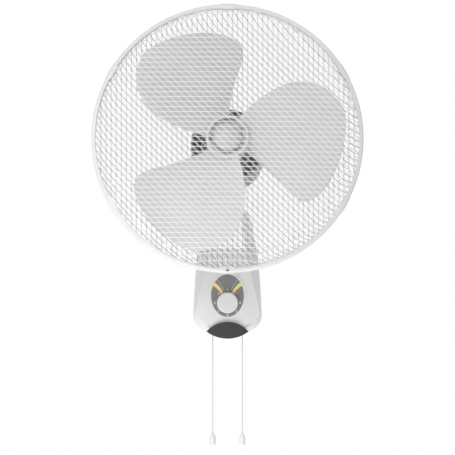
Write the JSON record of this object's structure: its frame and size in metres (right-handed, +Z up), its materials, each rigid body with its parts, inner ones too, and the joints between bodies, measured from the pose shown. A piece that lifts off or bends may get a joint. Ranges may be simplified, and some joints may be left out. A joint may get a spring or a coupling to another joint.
{
  "type": "wall mounted fan",
  "caption": "Wall mounted oscillating fan with a wire mesh guard, a tilting head, a turning speed dial and hanging pull cords under the wall box.",
  "frame": {"origin": "centre of the wall plate's screw pattern, on the wall face", "axes": "+Z up, +Y into the wall, the fan blows towards -Y; +X is to the right seen from the front"},
  "size_m": [0.453, 0.3408, 0.7387],
  "materials": {
    "enamelled_wire": "semi-gloss white enamel",
    "ring_plastic": "satin white",
    "blade_plastic": "satin white",
    "spinner_plastic": "satin white",
    "motor_black": "dark charcoal",
    "housing_white": "satin white",
    "trim_black": "glossy charcoal",
    "label_grey": "printed mid grey with gold stripes",
    "switch_plastic": "matt",
    "steel": "machined",
    "zinc_steel": "zinc plated",
    "laminations": "stacked laminations",
    "winding": "varnished winding",
    "bearing_bronze": "sintered",
    "cord_white": "braided",
    "capacitor_body": "matt",
    "gland_rubber": "matt"
  },
  "bodies": {
    "base": {"wall_plate": "zinc_steel", "base_rear_housing": "housing_white", "base_front_housing": "housing_white", "base_trim": "trim_black", "control_label": "label_grey", "neck_arm": "zinc_steel", "neck_front_cover": "housing_white", "neck_rear_cover": "housing_white", "tilt_bolt": "zinc_steel", "tilt_nut": "zinc_steel", "speed_switch": "switch_plastic", "swing_switch": "switch_plastic", "speed_cord_eyelet": "housing_white", "swing_cord_eyelet": "housing_white", "terminal_block": "switch_plastic", "run_capacitor": "capacitor_body", "mains_gland": "gland_rubber"},
    "swivel": {"swivel_bracket": "motor_black", "swivel_bush": "bearing_bronze"},
    "head": {"motor_front_cover": "motor_black", "motor_rear_cover": "motor_black", "stator_core": "laminations", "stator_coils": "winding", "shaft_bearings": "bearing_bronze", "motor_through_bolts": "zinc_steel", "motor_end_bell": "zinc_steel", "yaw_pin": "steel", "swing_motor": "zinc_steel", "front_guard_horizontal_wires": "enamelled_wire", "front_guard_diagonal_wires": "enamelled_wire", "front_guard_rim": "enamelled_wire", "rear_guard_vertical_wires": "enamelled_wire", "rear_guard_diagonal_wires": "enamelled_wire", "rear_guard_rim": "enamelled_wire", "rear_guard_plate": "enamelled_wire", "rear_guard_nut": "motor_black", "guard_ring": "ring_plastic", "guard_clips": "ring_plastic", "guard_ring_screw": "zinc_steel"},
    "rotor": {"impeller": "blade_plastic", "spinner_nut": "spinner_plastic", "motor_shaft": "steel", "rotor_core": "laminations"},
    "crank": {"swing_crank": "switch_plastic"},
    "link": {"swing_link": "zinc_steel"},
    "dial": {"speed_dial": "housing_white", "dial_shaft": "switch_plastic"},
    "speed_pull": {"speed_cord": "cord_white", "speed_pull_knob": "housing_white", "speed_plunger": "switch_plastic"},
    "swing_pull": {"swing_cord": "cord_white", "swing_pull_knob": "housing_white", "swing_plunger": "switch_plastic"}
  },
  "joints": [
    {"name": "head_tilt", "type": "hinge", "parent": "base", "child": "swivel", "pos_m": [0, -0.105, 0.154], "axis": [1, 0, 0], "range_deg": [-5, 35]},
    {"name": "head_swing", "type": "hinge", "parent": "swivel", "child": "head", "pos_m": [0, -0.09875, 0.18945], "axis": [0, 0.1736, 0.9848], "range_deg": [-40, 40]},
    {"name": "fan_spin", "type": "hinge", "parent": "head", "child": "rotor", "pos_m": [0, -0.24868, 0.26057], "axis": [0, -0.9848, 0.1736], "continuous": true},
    {"name": "crank_turn", "type": "hinge", "parent": "head", "child": "crank", "pos_m": [-0.00607, -0.12708, 0.20156], "axis": [0, 0.1736, 0.9848], "range_deg": [-90, 90]},
    {"name": "link_turn", "type": "hinge", "parent": "swivel", "child": "link", "pos_m": [-0.017, -0.09852, 0.19073], "axis": [0, 0.1736, 0.9848], "range_deg": [-40, 40]},
    {"name": "dial_turn", "type": "hinge", "parent": "base", "child": "dial", "pos_m": [0, -0.0925, -0.0137], "axis": [0, -1, 0], "continuous": true},
    {"name": "speed_cord_pull", "type": "slide", "parent": "base", "child": "speed_pull", "axis": [0, 0, -1], "range_m": [0, 0.01], "stiffness_N_per_m": 600, "springref_m": -0.005},
    {"name": "swing_cord_pull", "type": "slide", "parent": "base", "child": "swing_pull", "axis": [0, 0, -1], "range_m": [0, 0.01], "stiffness_N_per_m": 600, "springref_m": -0.005}
  ],
  "couplings": [
    {"joint": "crank_turn", "follows": "head_swing", "ratio": -2.25},
    {"joint": "link_turn", "follows": "head_swing", "ratio": 1}
  ]
}
